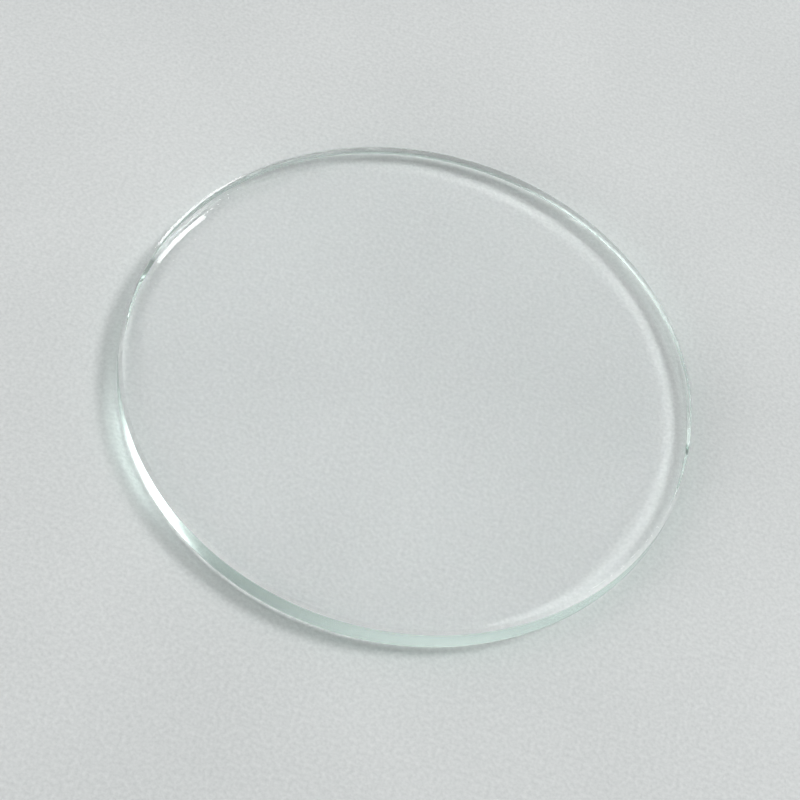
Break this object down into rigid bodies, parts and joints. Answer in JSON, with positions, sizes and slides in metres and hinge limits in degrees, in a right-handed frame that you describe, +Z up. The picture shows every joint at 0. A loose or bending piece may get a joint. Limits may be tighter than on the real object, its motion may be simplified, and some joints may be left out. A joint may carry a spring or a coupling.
{
  "type": "watch glass",
  "caption": "Flat round watch glass: a clear mineral crystal disc with a straight edge and a small arris round each face, pressed into a watch case over the dial.",
  "frame": {"origin": "centre of the underside, the face that lies on the table", "axes": "+Z up through the glass along its axis of revolution; +X and +Y lie in the underside and are interchangeable"},
  "size_m": [0.037, 0.037, 0.002],
  "materials": {
    "mineral_glass": "polished, faintly green in depth"
  },
  "bodies": {
    "root": {"glass_disc": "mineral_glass"}
  },
  "joints": []
}
